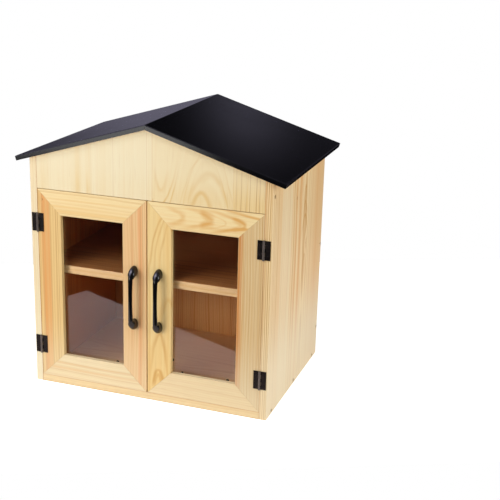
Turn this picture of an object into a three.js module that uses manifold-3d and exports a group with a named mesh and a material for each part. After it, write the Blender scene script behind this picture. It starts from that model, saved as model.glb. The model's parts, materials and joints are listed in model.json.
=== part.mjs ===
// A small gabled book exchange box: a softwood cabinet with two glazed doors, one loose shelf
// and a folded sheet-steel roof cover. Millimetres, +Z up, doors facing -Y.
// The origin is the middle of the whole box's footprint, on the surface it stands on.

import * as THREE from 'three';
import { mergeVertices } from 'three/addons/utils/BufferGeometryUtils.js';
import Module from 'manifold-3d';

// Cabinet
const cabinetWidth = 480;
const cabinetDepth = 349;
const sideThickness = 14;
const floorThickness = 14;
const backThickness = 14;
const gableThickness = 14;
const gableEdgeHeight = 61.7;
const sideArris = 0.6;

// Roof
const roofSlope = THREE.MathUtils.degToRad(16.9);
const sideOverhang = 25.8;
const frontOverhang = 9.1;
const backOverhang = 18;
const roofBoardThickness = 8;
const sheetThickness = 0.8;
const flangeDrop = 9.2;
const foldSlit = 0.7;

// Clearances
const seat = 0.3;
const doorSideGap = 0.3;
const doorBottomGap = 0.3;
const doorTopGap = 1.3;
const doorMeetingGap = 2;
const overrun = 5;
const weld = 0.001;

// Doors
const doorHeight = 380.4;
const doorThickness = 14;
const frameWidth = 48;
const frameArris = 0.6;
const mitreGap = 0.3;
const rabbetWidth = 6;
const rabbetDepth = 4.3;
const paneThickness = 3;
const paneEdgeGap = 0.5;

// Shelf and the four pins that carry it
const shelfThickness = 16;
const shelfUnderside = 227;
const shelfSetback = 19.5;
const shelfSideGap = 1;
const shelfBackGap = 1.5;
const shelfPegRadius = 2.5;
const shelfPegLength = 8.5;
const shelfPinHeadRadius = 3.5;
const shelfPinHeadLength = 9;
const shelfPinSides = 14;
const shelfPinDepthShares = [0.14, 0.86];

// Butt hinges
const hingeHeight = 36;
const hingeLeafWidth = 12.2;
const hingeLeafThickness = 1;
const hingeKnuckleRadius = 2.25;
const hingeKnuckleGap = 0.3;
const hingeKnuckleCount = 5;
const hingePinRadius = 0.9;
const hingePinTipRadius = 1.5;
const hingePinTipLength = 1.2;
const hingeHoleRadius = 1.5;
const hingeHoleShares = [0.25, 0.75];
const hingeSides = 16;
const hingeBoreSides = 10;
const hingeHeightShares = { lower: 0.171, upper: 0.828 };

// Bow handles
const handleLength = 126.4;
const handleHoleInset = 12.2;
const handleFootLength = 21.5;
const handleFootWidth = 14.4;
const handleFootRim = 1.4;
const handleProjection = 23.3;
const handleGripThickness = 7.2;
const handleGripWidth = 7.6;
const handleWaistWidth = 9;
const handleShoulder = 25;
const handleCollarShare = 0.74;
const handleBow = 1;
const handleHeightShare = 0.501;
const handleSides = 16;
const handleShoulderSteps = 9;
const handleGripSteps = 6;

// Screws
const screwShankRadius = 2;
const screwLength = 34;
const screwHeadRadius = 3.6;
const screwHeadThickness = 2.4;
const screwSunk = 1.5;
const screwTip = 3;
const screwSides = 12;
const floorScrewDepthShares = [0.095, 0.516, 0.911];
const floorScrewHeightShare = 0.4;
const backScrewHeightShares = [0.136, 0.542];
const backScrewInset = 5;
const gableScrewRise = 30;
const gableScrewInset = 10.5;
const handleScrewHeadRadius = 4;
const handleScrewHeadThickness = 2.2;
const handleScrewHeadFlat = 2.5;
const handleScrewReach = 8;

// Magnetic catches, which are also the door stops
const catchOffset = 75;
const catchWidth = 40;
const catchBodyDepth = 12;
const catchBodyHeight = 16;
const catchEarThickness = 2.5;
const catchEarHeight = 17;
const magnetWidth = 28;
const magnetHeight = 6;
const magnetDepth = 8;
const strikeWidth = 30;
const strikeHeight = 12;
const strikeThickness = 1;

// Sizes that follow from those above
const halfWidth = cabinetWidth / 2;
const innerHalfWidth = halfWidth - sideThickness;
const slopeTan = Math.tan(roofSlope);
const slopeCos = Math.cos(roofSlope);
const slopeSin = Math.sin(roofSlope);
const wallDrop = sheetThickness + seat + roofBoardThickness + seat;
const doorBottom = floorThickness + doorBottomGap;
const doorTop = doorBottom + doorHeight;
const gableBottom = doorTop + doorTopGap;
const gableEdgeTop = gableBottom + gableEdgeHeight;
const ridgeHeight = gableEdgeTop + innerHalfWidth * slopeTan + wallDrop / slopeCos;
const doorWidth = innerHalfWidth - doorSideGap - doorMeetingGap / 2;
const hingeAxisX = innerHalfWidth - doorSideGap / 2;
const hingeAxisY = -(seat + hingeKnuckleRadius);
const backInnerFace = cabinetDepth - backThickness;
const catchFace = doorThickness + seat + strikeThickness + seat;
const magnetMiddle = gableBottom - catchBodyHeight / 2;
const screwRecessDepth = screwSunk + screwHeadThickness;
const screwReach = screwLength - (sideThickness - screwRecessDepth);
const handleFrontReach = seat + handleProjection;
const handleHoleSpacing = handleLength - 2 * handleHoleInset;
const footprintMiddle = (cabinetDepth + backOverhang - handleFrontReach) / 2;

// Surface finishes
const pine = { color: 0xe8cf9c, roughness: 0.55, metalness: 0 };
const innerPine = { color: 0xd9b988, roughness: 0.6, metalness: 0 };
const blackSheet = { color: 0x111114, roughness: 0.25, metalness: 0.2 };
const blackIron = { color: 0x17161a, roughness: 0.4, metalness: 0.6 };
const bronze = { color: 0x2a2622, roughness: 0.45, metalness: 0.8 };
const zinc = { color: 0x9a9a98, roughness: 0.4, metalness: 0.9 };
const acrylic = { color: 0xdfe8ea, roughness: 0.05, metalness: 0, transparent: true, opacity: 0.3 };
const catchPlastic = { color: 0x6b4a30, roughness: 0.5, metalness: 0 };
const ferrite = { color: 0x303032, roughness: 0.6, metalness: 0.3 };

const wasm = await Module();
wasm.setup();

// A closed geometry as a solid that can be joined and cut.
function toSolid(geometry) {
  const plain = geometry.clone();
  plain.deleteAttribute('normal');
  plain.deleteAttribute('uv');
  const welded = mergeVertices(plain, weld);
  const mesh = new wasm.Mesh({
    numProp: 3,
    vertProperties: Float32Array.from(welded.attributes.position.array),
    triVerts: Uint32Array.from(welded.index.array),
  });
  return new wasm.Manifold(mesh);
}

// A solid back as a geometry.
function toGeometry(solid) {
  const mesh = solid.getMesh();
  const geometry = new THREE.BufferGeometry();
  geometry.setAttribute('position', new THREE.BufferAttribute(mesh.vertProperties, 3));
  geometry.setIndex(new THREE.BufferAttribute(mesh.triVerts, 1));
  geometry.computeVertexNormals();
  return geometry;
}

// The first geometry less all the others.
function cut(geometry, cutters) {
  const solid = cutters.reduce((left, cutter) => left.subtract(toSolid(cutter)), toSolid(geometry));
  return toGeometry(solid);
}

function join(geometries) {
  const solids = geometries.map(toSolid);
  return toGeometry(solids.reduce((sum, solid) => sum.add(solid)));
}

function block(width, depth, height, x, y, z) {
  return new THREE.BoxGeometry(width, depth, height).translate(x, y, z);
}

// A closed outline of [x, z] points, given depth from y = 0 towards the back.
function frontProfile(points, depth) {
  const shape = new THREE.Shape(points.map(([x, z]) => new THREE.Vector2(x, z)));
  const geometry = new THREE.ExtrudeGeometry(shape, { depth, bevelEnabled: false, steps: 1 });
  return geometry.rotateX(Math.PI / 2).translate(0, depth, 0);
}

// A closed outline of [x, y] points, given height from z = 0 upwards.
function planProfile(points, height) {
  const shape = new THREE.Shape(points.map(([x, y]) => new THREE.Vector2(x, y)));
  return new THREE.ExtrudeGeometry(shape, { depth: height, bevelEnabled: false, steps: 1 });
}

// A turned piece from [radius, distance along the axis] points, with its axis along +Z.
function turned(points, sides) {
  const profile = points.map(([radius, along]) => new THREE.Vector2(radius, along));
  return new THREE.LatheGeometry(profile, sides).rotateX(Math.PI / 2);
}

function rod(radius, length, sides) {
  return turned([[0, 0], [radius, 0], [radius, length], [0, length]], sides);
}

// Turns a piece whose axis is +Z so that the axis points along +X (side 1) or -X (side -1).
function alongX(geometry, side) {
  return geometry.rotateY(side * Math.PI / 2);
}

// Turns a piece whose axis is +Z so that the axis points along -Y, out of the front.
function towardsFront(geometry) {
  return geometry.rotateX(Math.PI / 2);
}

// Height of a layer of the roof, given its depth square to the slope under the sheet's top face.
function roofHeight(x, drop) {
  return ridgeHeight - Math.abs(x) * slopeTan - drop / slopeCos;
}

function piece(name, geometry, look, parent) {
  const mesh = new THREE.Mesh(geometry, new THREE.MeshStandardMaterial(look));
  mesh.name = name;
  parent.add(mesh);
  return mesh;
}

function sideName(side) {
  return side < 0 ? 'left' : 'right';
}

// Places of the six screws in one side panel: [y, z].
function sideScrewPlaces() {
  const wallHeight = roofHeight(halfWidth, wallDrop);
  const intoFloor = floorScrewDepthShares.map((share) => [
    share * cabinetDepth,
    floorScrewHeightShare * floorThickness,
  ]);
  const intoBack = backScrewHeightShares.map((share) => [
    cabinetDepth - backScrewInset,
    share * wallHeight,
  ]);
  return [...intoFloor, ...intoBack, [gableScrewInset, gableBottom + gableScrewRise]];
}

function shelfPinPlaces() {
  const shelfDepth = backInnerFace - shelfBackGap - shelfSetback;
  const z = shelfUnderside - seat - shelfPinHeadRadius;
  return shelfPinDepthShares.map((share) => [shelfSetback + share * shelfDepth, z]);
}

// Blind holes for the side screws in the end of a board that fits between the side panels.
function pilotHoles(places) {
  const radius = screwShankRadius + seat;
  const depth = screwReach + overrun;
  return [-1, 1].flatMap((side) => places.map(([y, z]) =>
    alongX(rod(radius, depth + overrun, screwSides), -side)
      .translate(side * (innerHalfWidth + overrun), y, z)));
}

function sidePanel(side) {
  const outer = side * halfWidth;
  const inner = side * innerHalfWidth;
  const eased = side * (halfWidth - sideArris);
  const outline = [
    [inner, 0],
    [eased, 0],
    [outer, sideArris],
    [outer, cabinetDepth - sideArris],
    [eased, cabinetDepth],
    [inner, cabinetDepth],
  ];
  if (side < 0) outline.reverse();
  const top = roofHeight(innerHalfWidth, wallDrop);
  const blank = planProfile(outline, top + overrun);
  const past = side * (halfWidth + overrun);
  const short = side * (innerHalfWidth - overrun);
  const waste = [
    [short, roofHeight(short, wallDrop)],
    [past, roofHeight(past, wallDrop)],
    [past, top + overrun * 2],
    [short, top + overrun * 2],
  ];
  if (side < 0) waste.reverse();
  const above = frontProfile(waste, cabinetDepth + overrun * 2).translate(0, -overrun, 0);
  const holes = sideScrewPlaces().flatMap(([y, z]) => [
    alongX(rod(screwShankRadius + seat, sideThickness + overrun * 2, screwSides), -side)
      .translate(side * (halfWidth + overrun), y, z),
    alongX(rod(screwHeadRadius + seat, screwRecessDepth + overrun, screwSides), -side)
      .translate(side * (halfWidth + overrun), y, z),
  ]);
  const sockets = shelfPinPlaces().map(([y, z]) =>
    alongX(rod(shelfPegRadius + seat, shelfPegLength + seat + overrun, shelfPinSides), side)
      .translate(side * (innerHalfWidth - overrun), y, z));
  return cut(blank, [above, ...holes, ...sockets]);
}

// A gabled board between the side panels, from the given height up to the roof boards.
function gabledBoard(bottom, thickness) {
  const half = innerHalfWidth - seat;
  return frontProfile([
    [-half, bottom],
    [half, bottom],
    [half, roofHeight(half, wallDrop)],
    [0, roofHeight(0, wallDrop)],
    [-half, roofHeight(half, wallDrop)],
  ], thickness);
}

// One roof board lying under the sheet, cut plumb where it meets the other at the ridge.
function roofBoard(side) {
  const top = sheetThickness + seat;
  const bottom = top + roofBoardThickness;
  const eaveX = halfWidth + sideOverhang - (sheetThickness + seat) * slopeCos;
  const ridgeX = seat / 2;
  const length = cabinetDepth + frontOverhang + backOverhang - 2 * (sheetThickness + seat);
  const outline = [
    [side * ridgeX, roofHeight(ridgeX, bottom)],
    [side * (eaveX - bottom * slopeSin), roofHeight(eaveX, 0) - bottom * slopeCos],
    [side * (eaveX - top * slopeSin), roofHeight(eaveX, 0) - top * slopeCos],
    [side * ridgeX, roofHeight(ridgeX, top)],
  ];
  if (side < 0) outline.reverse();
  return frontProfile(outline, length);
}

// The folded cover: two slopes, an eave flange on each side and a flange across each end,
// slit at the ridge and at the corners where the blank was cut before folding.
function roofCover() {
  const length = cabinetDepth + frontOverhang + backOverhang;
  const eave = [halfWidth + sideOverhang, roofHeight(halfWidth + sideOverhang, 0)];
  const hem = [eave[0] - flangeDrop * slopeSin, eave[1] - flangeDrop * slopeCos];
  const inward = [-sheetThickness * slopeCos, sheetThickness * slopeSin];
  const hemInner = [hem[0] + inward[0], hem[1] + inward[1]];
  const eaveInner = [
    eave[0] + inward[0] - sheetThickness * slopeSin,
    eave[1] + inward[1] - sheetThickness * slopeCos,
  ];
  const right = [eave, hem, hemInner, eaveInner];
  const mirror = ([x, z]) => [-x, z];
  const section = [
    [0, ridgeHeight],
    ...right.map(mirror),
    [0, roofHeight(0, sheetThickness)],
    ...[...right].reverse(),
  ];
  const endFlange = [
    [0, ridgeHeight],
    mirror(eave),
    mirror(hem),
    [0, roofHeight(0, flangeDrop)],
    hem,
    eave,
  ];
  const slopes = frontProfile(section, length);
  const front = frontProfile(endFlange, sheetThickness);
  const back = frontProfile(endFlange, sheetThickness).translate(0, length - sheetThickness, 0);
  const ridgeSlits = [0, length].map((y) => block(
    foldSlit, sheetThickness * 4, flangeDrop,
    0, y, roofHeight(0, sheetThickness) - flangeDrop / 2,
  ));
  const cornerSlits = [0, length].flatMap((y) => [-1, 1].map((side) =>
    block(foldSlit, sheetThickness * 4, flangeDrop, 0, 0, 0)
      .translate(-sheetThickness - foldSlit / 2, 0, -sheetThickness - flangeDrop / 2)
      .rotateY(roofSlope)
      .scale(side, 1, 1)
      .translate(side * eave[0], y, eave[1])));
  const corners = cornerSlits.map((slit, index) => (index % 2 ? slit : turnedInsideOut(slit)));
  return cut(join([slopes, front, back]), [...ridgeSlits, ...corners]);
}

// A mirrored geometry has its faces the wrong way round, so each triangle is read backwards.
function turnedInsideOut(geometry) {
  const flipped = geometry.clone();
  const order = Array.from(flipped.index.array);
  for (let i = 0; i < order.length; i += 3) [order[i], order[i + 1]] = [order[i + 1], order[i]];
  flipped.setIndex(order);
  return flipped;
}

function sideScrew(side) {
  const profile = [
    [0, 0],
    [screwHeadRadius, 0],
    [screwHeadRadius, screwHeadThickness / 2],
    [screwShankRadius, screwHeadThickness],
    [screwShankRadius, screwHeadThickness + screwLength - screwTip],
    [0, screwHeadThickness + screwLength],
  ];
  return alongX(turned(profile, screwSides), -side);
}

function shelfPin(side) {
  const profile = [
    [0, -shelfPegLength],
    [shelfPegRadius, -shelfPegLength],
    [shelfPegRadius, seat],
    [shelfPinHeadRadius, seat],
    [shelfPinHeadRadius, shelfPinHeadLength],
    [0, shelfPinHeadLength],
  ];
  return alongX(turned(profile, shelfPinSides), -side);
}

// One leaf of a butt hinge, about its pin. The leaf reaches out along the given direction.
function hingeLeaf(direction, firstKnuckle) {
  const slot = hingeHeight / hingeKnuckleCount;
  const rootGap = hingeKnuckleRadius + hingeKnuckleGap;
  const plateWidth = hingeLeafWidth - rootGap;
  const plateMiddle = direction * (rootGap + plateWidth / 2);
  const plateY = hingeKnuckleRadius - hingeLeafThickness / 2;
  const plate = block(
    plateWidth, hingeLeafThickness, hingeHeight, plateMiddle, plateY, hingeHeight / 2,
  );
  const parts = [plate];
  for (let index = firstKnuckle; index < hingeKnuckleCount; index += 2) {
    const length = slot - hingeKnuckleGap;
    const start = index * slot + hingeKnuckleGap / 2;
    parts.push(rod(hingeKnuckleRadius, length, hingeSides).translate(0, 0, start));
    const tongue = rootGap + hingeLeafThickness;
    parts.push(block(
      tongue, hingeLeafThickness, length, direction * tongue / 2, plateY, start + length / 2,
    ));
  }
  const bore = rod(hingePinRadius + seat, hingeHeight + overrun * 2, hingeBoreSides)
    .translate(0, 0, -overrun);
  const holes = hingeHoleShares.map((share) =>
    towardsFront(rod(hingeHoleRadius, overrun * 2, hingeBoreSides))
      .translate(plateMiddle, overrun, share * hingeHeight));
  return cut(join(parts), [bore, ...holes]);
}

function hingePin() {
  const profile = [
    [0, -hingePinTipLength - seat],
    [hingePinTipRadius, -seat - hingePinTipLength / 2],
    [hingePinTipRadius, -seat],
    [hingePinRadius, -seat],
    [hingePinRadius, hingeHeight + seat],
    [hingePinTipRadius, hingeHeight + seat],
    [hingePinTipRadius, hingeHeight + seat + hingePinTipLength / 2],
    [0, hingeHeight + seat + hingePinTipLength],
  ];
  return turned(profile, hingeBoreSides);
}

// Points of a quarter round of an eased edge, in [across, through] coordinates.
function easedCorner(acrossMiddle, throughMiddle, radius, startAngle) {
  const steps = 3;
  return Array.from({ length: steps + 1 }, (_, i) => {
    const angle = startAngle + (i / steps) * Math.PI / 2;
    return [
      acrossMiddle + radius * Math.cos(angle),
      throughMiddle + radius * Math.sin(angle),
    ];
  });
}

// One member of a door frame, lying along X with its outer edge at z = 0 and its face at y = 0.
// The section has eased front edges and a rabbet at the back that holds the pane, and both ends
// are mitred.
function frameMember(length) {
  const rabbetStart = doorThickness - rabbetDepth;
  const section = [
    ...easedCorner(frameArris, frameArris, frameArris, Math.PI),
    ...easedCorner(frameWidth - frameArris, frameArris, frameArris, -Math.PI / 2),
    [frameWidth, rabbetStart],
    [frameWidth - rabbetWidth, rabbetStart],
    [frameWidth - rabbetWidth, doorThickness],
    [0, doorThickness],
  ];
  const shape = new THREE.Shape(section.map(([across, through]) => new THREE.Vector2(through, across)));
  const bar = new THREE.ExtrudeGeometry(shape, { depth: length, bevelEnabled: false, steps: 1 });
  bar.applyMatrix4(new THREE.Matrix4().makeBasis(
    new THREE.Vector3(0, 1, 0),
    new THREE.Vector3(0, 0, 1),
    new THREE.Vector3(1, 0, 0),
  )).translate(-length / 2, 0, 0);
  const trim = mitreGap / 2 * Math.SQRT2;
  const low = length / 2 + overrun - trim;
  const high = length / 2 - frameWidth - overrun - trim;
  const mitre = frontProfile([
    [-low, -overrun],
    [low, -overrun],
    [high, frameWidth + overrun],
    [-high, frameWidth + overrun],
  ], doorThickness + overrun * 2).translate(0, -overrun, 0);
  return toGeometry(toSolid(bar).intersect(toSolid(mitre)));
}

// Half-width of the handle for a given angle of its shoulder: it keeps the width of the foot up to
// the collar share of its rise and then draws in to the waist.
function shoulderHalfWidth(angle) {
  const narrowing = THREE.MathUtils.smoothstep(Math.sin(angle), handleCollarShare, 1);
  return THREE.MathUtils.lerp(handleFootWidth, handleWaistWidth, narrowing) / 2;
}

// Rings of the handle as pairs of points, outer and inner, in its side view: [out, along].
function handleRings() {
  const half = handleLength / 2;
  const gripHalf = half - handleShoulder;
  const innerRun = handleShoulder - handleFootLength;
  const innerOut = handleProjection - handleBow - handleGripThickness;
  const outerOut = handleProjection - handleBow;
  const rings = [{ outer: [0, half], inner: [0, half - handleFootLength], half: handleFootWidth / 2 }];
  for (let i = 0; i <= handleShoulderSteps; i += 1) {
    const angle = (i / handleShoulderSteps) * Math.PI / 2;
    const rise = Math.sin(angle);
    rings.push({
      outer: [
        handleFootRim + (outerOut - handleFootRim) * rise,
        gripHalf + handleShoulder * Math.cos(angle),
      ],
      inner: [
        handleFootRim + (innerOut - handleFootRim) * rise,
        gripHalf + innerRun * Math.cos(angle),
      ],
      half: shoulderHalfWidth(angle),
    });
  }
  for (let i = 1; i < handleGripSteps; i += 1) {
    const along = 1 - (2 * i) / handleGripSteps;
    const bulge = 1 - along * along;
    rings.push({
      outer: [outerOut + handleBow * bulge, gripHalf * along],
      inner: [innerOut + handleBow * bulge, gripHalf * along],
      half: THREE.MathUtils.lerp(handleWaistWidth, handleGripWidth, bulge) / 2,
    });
  }
  const lower = rings.slice(0, handleShoulderSteps + 2).reverse().map((ring) => ({
    outer: [ring.outer[0], -ring.outer[1]],
    inner: [ring.inner[0], -ring.inner[1]],
    half: ring.half,
  }));
  return [...rings, ...lower];
}

// A bow handle lofted through oval rings, with a screw hole up each foot. Its feet stand on the
// plane y = 0 and it reaches out towards -Y.
function bowHandle() {
  const rings = handleRings();
  const positions = [];
  rings.forEach((ring) => {
    const out = (ring.outer[0] + ring.inner[0]) / 2;
    const along = (ring.outer[1] + ring.inner[1]) / 2;
    const reachOut = (ring.outer[0] - ring.inner[0]) / 2;
    const reachAlong = (ring.outer[1] - ring.inner[1]) / 2;
    for (let side = 0; side < handleSides; side += 1) {
      const angle = (side / handleSides) * Math.PI * 2;
      positions.push(
        ring.half * Math.sin(angle),
        -(out + reachOut * Math.cos(angle)),
        along + reachAlong * Math.cos(angle),
      );
    }
  });
  const index = [];
  for (let ring = 0; ring + 1 < rings.length; ring += 1) {
    for (let side = 0; side < handleSides; side += 1) {
      const next = (side + 1) % handleSides;
      const a = ring * handleSides + side;
      const b = ring * handleSides + next;
      const c = a + handleSides;
      const d = b + handleSides;
      index.push(a, c, b, b, c, d);
    }
  }
  const last = (rings.length - 1) * handleSides;
  for (let side = 1; side + 1 < handleSides; side += 1) {
    index.push(0, side, side + 1);
    index.push(last, last + side + 1, last + side);
  }
  const body = new THREE.BufferGeometry();
  body.setAttribute('position', new THREE.Float32BufferAttribute(positions, 3));
  body.setIndex(index);
  const bores = [-1, 1].map((end) => towardsFront(
    rod(screwShankRadius + seat, handleScrewReach + seat + overrun, screwSides),
  ).translate(0, overrun, end * handleHoleSpacing / 2));
  return cut(body, bores);
}

// A pan-head screw whose shank points out of the front, with its head against the plane y = 0.
function handleScrew() {
  const shank = doorThickness + seat + handleScrewReach;
  const profile = [
    [0, -seat - handleScrewHeadThickness],
    [handleScrewHeadFlat, -seat - handleScrewHeadThickness],
    [handleScrewHeadRadius, -seat],
    [screwShankRadius, -seat],
    [screwShankRadius, shank],
    [0, shank],
  ];
  return towardsFront(turned(profile, screwSides));
}

// The catch hangs behind the front gable board from an ear, its body level with the door's rail.
function catchHousing() {
  const earFront = gableThickness + seat;
  const bodyTop = gableBottom + catchEarThickness;
  const bodyBottom = bodyTop - catchBodyHeight;
  const earBottom = gableBottom + seat;
  const outline = [
    [earFront, earBottom],
    [earFront, earBottom + catchEarHeight],
    [earFront + catchEarThickness, earBottom + catchEarHeight],
    [earFront + catchEarThickness, bodyTop],
    [catchFace + catchBodyDepth, bodyTop],
    [catchFace + catchBodyDepth, bodyBottom],
    [catchFace, bodyBottom],
    [catchFace, earBottom],
  ];
  const shape = new THREE.Shape(outline.map(([y, z]) => new THREE.Vector2(y, z)));
  const body = new THREE.ExtrudeGeometry(shape, { depth: catchWidth, bevelEnabled: false, steps: 1 });
  body.applyMatrix4(new THREE.Matrix4().makeBasis(
    new THREE.Vector3(0, 1, 0),
    new THREE.Vector3(0, 0, 1),
    new THREE.Vector3(1, 0, 0),
  )).translate(-catchWidth / 2, 0, 0);
  const pocket = block(
    magnetWidth + 2 * seat, magnetDepth + seat + overrun, magnetHeight + 2 * seat,
    0, catchFace + (magnetDepth + seat - overrun) / 2, magnetMiddle,
  );
  return cut(body, [pocket]);
}

const box = new THREE.Group();
box.position.y = -footprintMiddle;

// Cabinet boards
const cabinet = new THREE.Group();
box.add(cabinet);
for (const side of [-1, 1]) {
  piece(`${sideName(side)}_side_panel`, sidePanel(side), pine, cabinet);
}
const floorDepth = backInnerFace - seat;
const floorWidth = 2 * (innerHalfWidth - seat);
const allPlaces = sideScrewPlaces();
const floorPlaces = allPlaces.slice(0, floorScrewDepthShares.length);
const backPlaces = allPlaces.slice(floorScrewDepthShares.length, -1);
const gablePlaces = allPlaces.slice(-1);
const floorBoard = block(
  floorWidth, floorDepth, floorThickness, 0, floorDepth / 2, floorThickness / 2,
);
piece('floor_board', cut(floorBoard, pilotHoles(floorPlaces)), pine, cabinet);
const backBoard = gabledBoard(0, backThickness).translate(0, backInnerFace, 0);
piece('back_panel', cut(backBoard, pilotHoles(backPlaces)), innerPine, cabinet);
const frontGable = gabledBoard(gableBottom, gableThickness);
piece('front_gable_board', cut(frontGable, pilotHoles(gablePlaces)), pine, cabinet);

// Roof
const roof = new THREE.Group();
roof.position.y = -frontOverhang;
cabinet.add(roof);
piece('roof_cover', roofCover(), blackSheet, roof);
for (const side of [-1, 1]) {
  const board = piece(`roof_board_${sideName(side)}`, roofBoard(side), innerPine, roof);
  board.position.y = sheetThickness + seat;
}

// Side screws and shelf pins
for (const side of [-1, 1]) {
  allPlaces.forEach(([y, z], index) => {
    const name = `${sideName(side)}_side_screw_${index + 1}`;
    const screw = piece(name, sideScrew(side), blackIron, cabinet);
    screw.position.set(side * (halfWidth - screwSunk), y, z);
  });
  shelfPinPlaces().forEach(([y, z], index) => {
    const name = `shelf_pin_${sideName(side)}_${index === 0 ? 'front' : 'back'}`;
    const pin = piece(name, shelfPin(side), zinc, cabinet);
    pin.position.set(side * innerHalfWidth, y, z);
  });
}

// Shelf
const shelfWidth = 2 * (innerHalfWidth - shelfSideGap);
const shelfDepth = backInnerFace - shelfBackGap - shelfSetback;
const shelf = piece(
  'shelf', new THREE.BoxGeometry(shelfWidth, shelfDepth, shelfThickness), innerPine, box,
);
shelf.position.set(0, shelfSetback + shelfDepth / 2, shelfUnderside + shelfThickness / 2);

// Doors, each in a group that stands on its hinge axis
const windowWidth = doorWidth - 2 * frameWidth;
const windowHeight = doorHeight - 2 * frameWidth;
const faceY = -hingeAxisY;
for (const side of [-1, 1]) {
  const name = sideName(side);
  const inward = -side;
  const door = new THREE.Group();
  door.position.set(side * hingeAxisX, hingeAxisY, doorBottom);
  box.add(door);
  const edgeX = inward * doorSideGap / 2;
  const middleX = edgeX + inward * doorWidth / 2;
  const middleZ = doorHeight / 2;

  const lower = piece(`${name}_door_bottom_rail`, frameMember(doorWidth), pine, door);
  lower.position.set(middleX, faceY, 0);
  const upper = piece(`${name}_door_top_rail`, frameMember(doorWidth), pine, door);
  upper.rotation.y = Math.PI;
  upper.position.set(middleX, faceY, doorHeight);
  const handleMiddleZ = handleHeightShare * doorHeight;
  const stileHoles = [-1, 1].map((end) => towardsFront(
    rod(screwShankRadius + seat, doorThickness + overrun * 2, screwSides),
  ).translate(side * (middleZ - handleMiddleZ - end * handleHoleSpacing / 2),
    doorThickness + overrun, frameWidth / 2));
  const hingeStile = piece(`${name}_door_hinge_stile`, frameMember(doorHeight), pine, door);
  hingeStile.rotation.y = -side * Math.PI / 2;
  hingeStile.position.set(edgeX, faceY, middleZ);
  const lockStile = piece(
    `${name}_door_lock_stile`, cut(frameMember(doorHeight), stileHoles), pine, door,
  );
  lockStile.rotation.y = side * Math.PI / 2;
  lockStile.position.set(edgeX + inward * doorWidth, faceY, middleZ);

  const pane = piece(`${name}_door_pane`, new THREE.BoxGeometry(
    windowWidth + 2 * (rabbetWidth - paneEdgeGap),
    paneThickness,
    windowHeight + 2 * (rabbetWidth - paneEdgeGap),
  ), acrylic, door);
  const paneFront = faceY + doorThickness - rabbetDepth + seat;
  pane.position.set(middleX, paneFront + paneThickness / 2, middleZ);

  const handleX = edgeX + inward * (doorWidth - frameWidth / 2);
  const handle = piece(`${name}_handle`, bowHandle(), blackIron, door);
  handle.position.set(handleX, faceY - seat, handleMiddleZ);
  [-1, 1].forEach((end) => {
    const place = end < 0 ? 'lower' : 'upper';
    const screw = piece(`${name}_handle_screw_${place}`, handleScrew(), zinc, door);
    screw.position.set(handleX, faceY + doorThickness, handleMiddleZ + end * handleHoleSpacing / 2);
  });

  const strike = piece(`${name}_strike_plate`, new THREE.BoxGeometry(
    strikeWidth, strikeThickness, strikeHeight,
  ), zinc, door);
  strike.position.set(
    side * (catchOffset - hingeAxisX),
    faceY + doorThickness + seat + strikeThickness / 2,
    magnetMiddle - doorBottom,
  );

  const housing = piece(`${name}_catch_housing`, catchHousing(), catchPlastic, cabinet);
  housing.position.x = side * catchOffset;
  const magnet = piece(`${name}_catch_magnet`, new THREE.BoxGeometry(
    magnetWidth, magnetDepth, magnetHeight,
  ), ferrite, cabinet);
  magnet.position.set(side * catchOffset, catchFace + magnetDepth / 2, magnetMiddle);

  for (const [level, share] of Object.entries(hingeHeightShares)) {
    const foot = share * doorHeight - hingeHeight / 2;
    const moving = piece(`${name}_${level}_hinge_door_leaf`, hingeLeaf(inward, 1), bronze, door);
    moving.position.z = foot;
    const fixed = piece(`${name}_${level}_hinge_side_leaf`, hingeLeaf(side, 0), bronze, cabinet);
    fixed.position.set(side * hingeAxisX, hingeAxisY, doorBottom + foot);
    const pin = piece(`${name}_${level}_hinge_pin`, hingePin(), bronze, cabinet);
    pin.position.set(side * hingeAxisX, hingeAxisY, doorBottom + foot);
  }
}

export default box;
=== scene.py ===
import json
import math

import bmesh
import bpy
from mathutils import Matrix, Vector


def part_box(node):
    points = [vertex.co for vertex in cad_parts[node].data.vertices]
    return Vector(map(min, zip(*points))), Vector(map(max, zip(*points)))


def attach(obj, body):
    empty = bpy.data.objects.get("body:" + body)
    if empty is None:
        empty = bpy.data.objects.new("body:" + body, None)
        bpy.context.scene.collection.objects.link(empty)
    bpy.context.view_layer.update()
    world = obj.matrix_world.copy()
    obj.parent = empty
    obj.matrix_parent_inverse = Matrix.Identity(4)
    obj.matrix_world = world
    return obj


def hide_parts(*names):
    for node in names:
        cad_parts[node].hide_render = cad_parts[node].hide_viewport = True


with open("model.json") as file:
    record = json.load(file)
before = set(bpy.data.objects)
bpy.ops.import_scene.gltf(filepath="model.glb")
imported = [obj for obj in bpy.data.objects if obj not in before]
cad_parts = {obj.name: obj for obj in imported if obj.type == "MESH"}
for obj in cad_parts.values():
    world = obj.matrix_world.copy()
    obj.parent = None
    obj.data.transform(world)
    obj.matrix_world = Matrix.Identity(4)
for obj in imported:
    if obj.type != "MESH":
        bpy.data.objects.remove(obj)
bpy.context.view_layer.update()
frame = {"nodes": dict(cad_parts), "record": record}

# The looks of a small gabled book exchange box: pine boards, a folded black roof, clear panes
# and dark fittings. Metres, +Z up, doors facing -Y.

MM = 0.001
WHITE = (1, 1, 1, 1)
SIDES = {"left": -1, "right": 1}
LEVELS = ("lower", "upper")
nodes = frame["nodes"]


# Small helpers

def srgb(red, green, blue):
    """A colour as it is read off a screen, 0 to 255, as the linear colour that Blender wants."""
    def linear(level):
        share = level / 255
        return share / 12.92 if share <= 0.04045 else ((share + 0.055) / 1.055) ** 2.4
    return (linear(red), linear(green), linear(blue), 1.0)


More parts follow.
